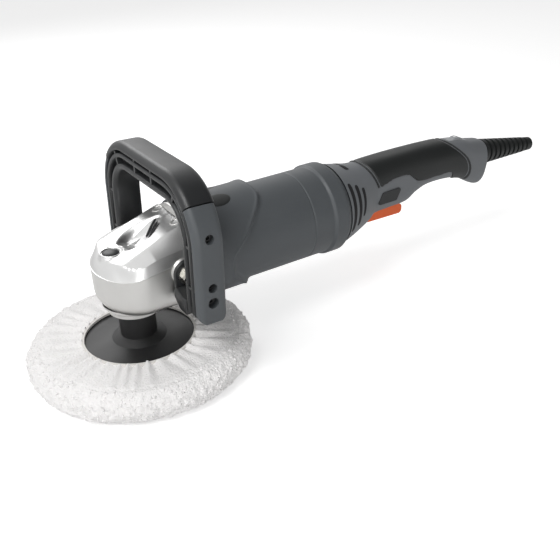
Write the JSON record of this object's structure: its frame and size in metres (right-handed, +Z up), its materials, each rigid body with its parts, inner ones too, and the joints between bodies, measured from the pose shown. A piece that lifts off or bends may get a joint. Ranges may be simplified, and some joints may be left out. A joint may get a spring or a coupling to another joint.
{
  "type": "rotary polisher",
  "caption": "Corded rotary polisher with a bevel gear head, D-shaped front handle, round bonnet pad, long rear grip with a trigger, lock-on button and speed dial.",
  "frame": {"origin": "centre of the bonnet's polishing face, on the spindle's axis", "axes": "+Z up along the spindle, +X from the spindle towards the rear handle, +Y to the far side when the rear handle points right"},
  "size_m": [0.5882, 0.2, 0.1881],
  "materials": {
    "cast_aluminium": "satin",
    "bearing_steel": "polished",
    "black_plastic": "fine texture",
    "core_steel": "laminated",
    "copper_wire": "varnished",
    "copper_bar": "turned",
    "brass": "plain",
    "carbon": "matt",
    "spring_steel": "plain",
    "dark_grey_plastic": "fine texture",
    "light_grey_plastic": "fine texture",
    "black_rubber": "matt",
    "screw_steel": "blackened",
    "bolt_steel": "zinc plated",
    "spindle_steel": "ground",
    "gear_steel": "hardened",
    "foam": "open cell",
    "bonnet_fleece": "terry fleece",
    "elastic_band": "woven",
    "orange_plastic": "satin",
    "dial_plastic": "ribbed"
  },
  "bodies": {
    "housing": {"air_baffle": "black_plastic", "bearing_carrier": "cast_aluminium", "bearing_cover": "cast_aluminium", "brush_holders": "brass", "brush_springs": "spring_steel", "carbon_brushes": "carbon", "d_handle_bolts": "bolt_steel", "dial_pin": "screw_steel", "field_coils": "copper_wire", "front_bearing": "bearing_steel", "gear_housing": "cast_aluminium", "handle_grip": "black_rubber", "handle_screws": "screw_steel", "handle_shell_left": "light_grey_plastic", "handle_shell_right": "light_grey_plastic", "housing_screws": "screw_steel", "motor_housing": "dark_grey_plastic", "needle_bearing": "bearing_steel", "rear_bearing": "bearing_steel", "shoulder_inserts": "black_rubber", "speed_module": "black_plastic", "spindle_bearing": "bearing_steel", "spindle_lock_spring": "spring_steel", "stator_core": "core_steel", "strain_relief": "black_rubber", "switch": "black_plastic", "trigger_pin": "screw_steel"},
    "spindle": {"backing_plate": "black_plastic", "bonnet": "bonnet_fleece", "bonnet_elastic": "elastic_band", "foam_pad": "foam", "ring_gear": "gear_steel", "spindle": "spindle_steel"},
    "armature": {"armature_core": "core_steel", "armature_shaft": "spindle_steel", "armature_windings": "copper_wire", "commutator": "copper_bar", "fan": "black_plastic", "pinion": "gear_steel"},
    "spindle_lock": {"spindle_lock_button": "black_plastic", "spindle_lock_pin": "spindle_steel"},
    "trigger": {"trigger": "orange_plastic"},
    "lock_on": {"lock_on_button": "black_plastic"},
    "dial": {"speed_dial": "dial_plastic"},
    "d_handle": {"d_handle_grip": "black_plastic", "d_handle_inner_shell": "black_plastic", "d_handle_screws": "screw_steel", "d_handle_shell_left": "dark_grey_plastic", "d_handle_shell_right": "dark_grey_plastic"}
  },
  "joints": [
    {"name": "spindle_spin", "type": "hinge", "parent": "housing", "child": "spindle", "pos_m": [0, 0, 0.05], "axis": [0, 0, 1], "continuous": true},
    {"name": "armature_spin", "type": "hinge", "parent": "housing", "child": "armature", "pos_m": [0.1, 0, 0.096], "axis": [1, 0, 0], "continuous": true},
    {"name": "spindle_lock_press", "type": "slide", "parent": "housing", "child": "spindle_lock", "axis": [0, 0, -1], "range_m": [0, 0.0045], "stiffness_N_per_m": 500, "springref_m": -0.002, "deforming": ["spindle_lock_spring"]},
    {"name": "trigger_pull", "type": "hinge", "parent": "housing", "child": "trigger", "pos_m": [0.255, 0, 0.082], "axis": [0, -1, 0], "range_deg": [0, 7], "stiffness_Nm_per_rad": 1, "springref_deg": -5.73},
    {"name": "lock_on_press", "type": "slide", "parent": "housing", "child": "lock_on", "axis": [0, 1, 0], "range_m": [0, 0.002], "stiffness_N_per_m": 500, "springref_m": -0.001},
    {"name": "speed_dial_turn", "type": "hinge", "parent": "housing", "child": "dial", "pos_m": [0.371, 0, 0.117], "axis": [0, 1, 0], "range_deg": [0, 270]},
    {"name": "d_handle_tilt", "type": "hinge", "parent": "housing", "child": "d_handle", "pos_m": [0.031, 0, 0.099], "axis": [0, 1, 0], "range_deg": [-15, 15]}
  ],
  "couplings": [
    {"joint": "armature_spin", "follows": "spindle_spin", "ratio": 4}
  ]
}
